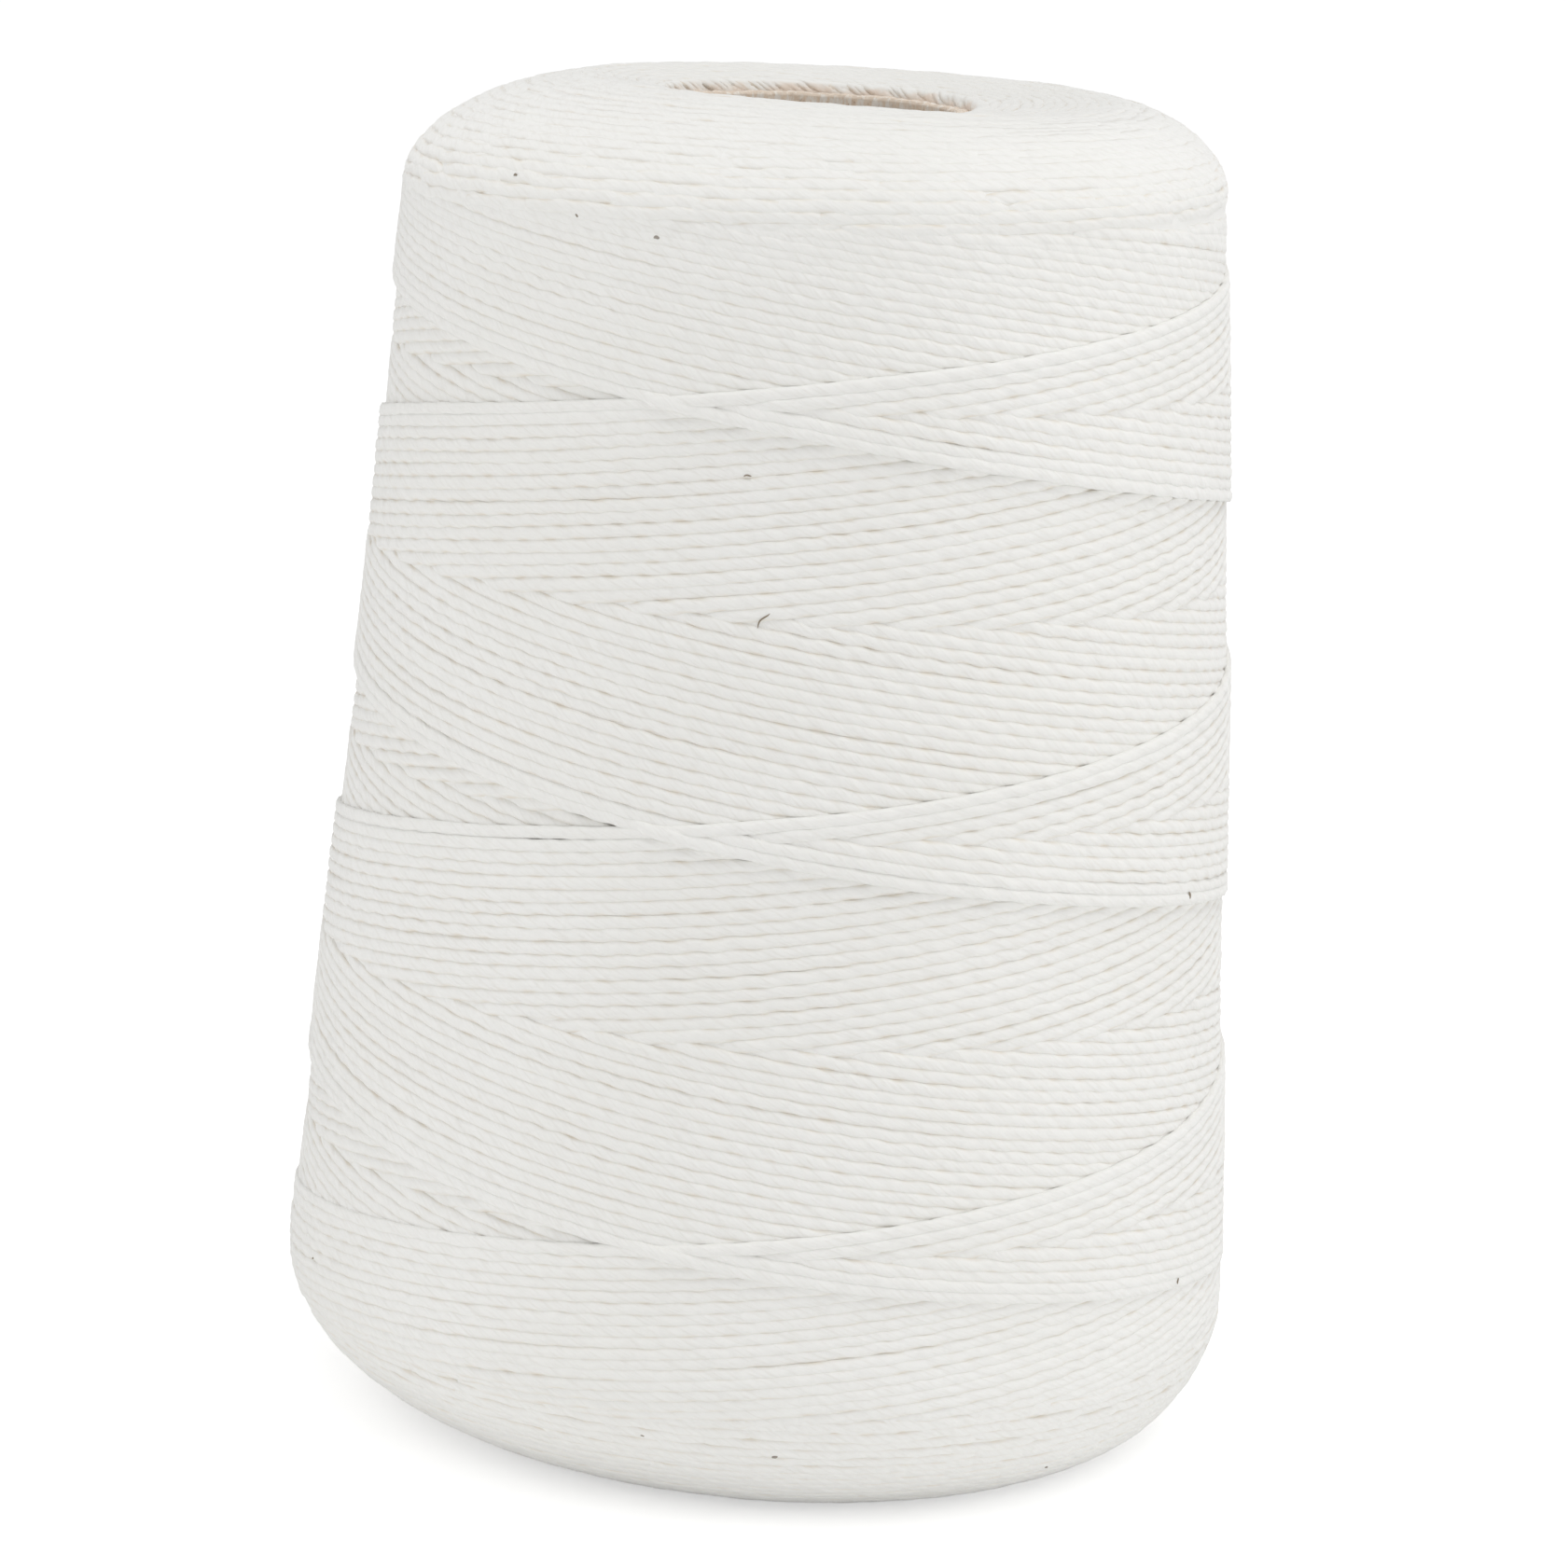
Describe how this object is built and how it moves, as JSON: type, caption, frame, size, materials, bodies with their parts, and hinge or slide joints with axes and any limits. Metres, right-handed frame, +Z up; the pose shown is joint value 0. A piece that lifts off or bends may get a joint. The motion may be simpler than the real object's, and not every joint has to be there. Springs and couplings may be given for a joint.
{
  "type": "roll of cooking twine",
  "caption": "Tapered roll of white cotton cooking twine, cross wound on a brown paper core, with rounded shoulders and an open hole down its axis.",
  "frame": {"origin": "on the surface the roll stands on, under the middle of its outline, which is its axis", "axes": "+Z up along the roll's axis towards its narrow end, -Y towards the front, +X to the right"},
  "size_m": [0.1168, 0.1166, 0.164],
  "materials": {
    "cotton_twine": "matt twisted cotton",
    "kraft_paper": "matt kraft paper"
  },
  "bodies": {
    "root": {"wound_twine": "cotton_twine", "paper_core": "kraft_paper"}
  },
  "joints": []
}
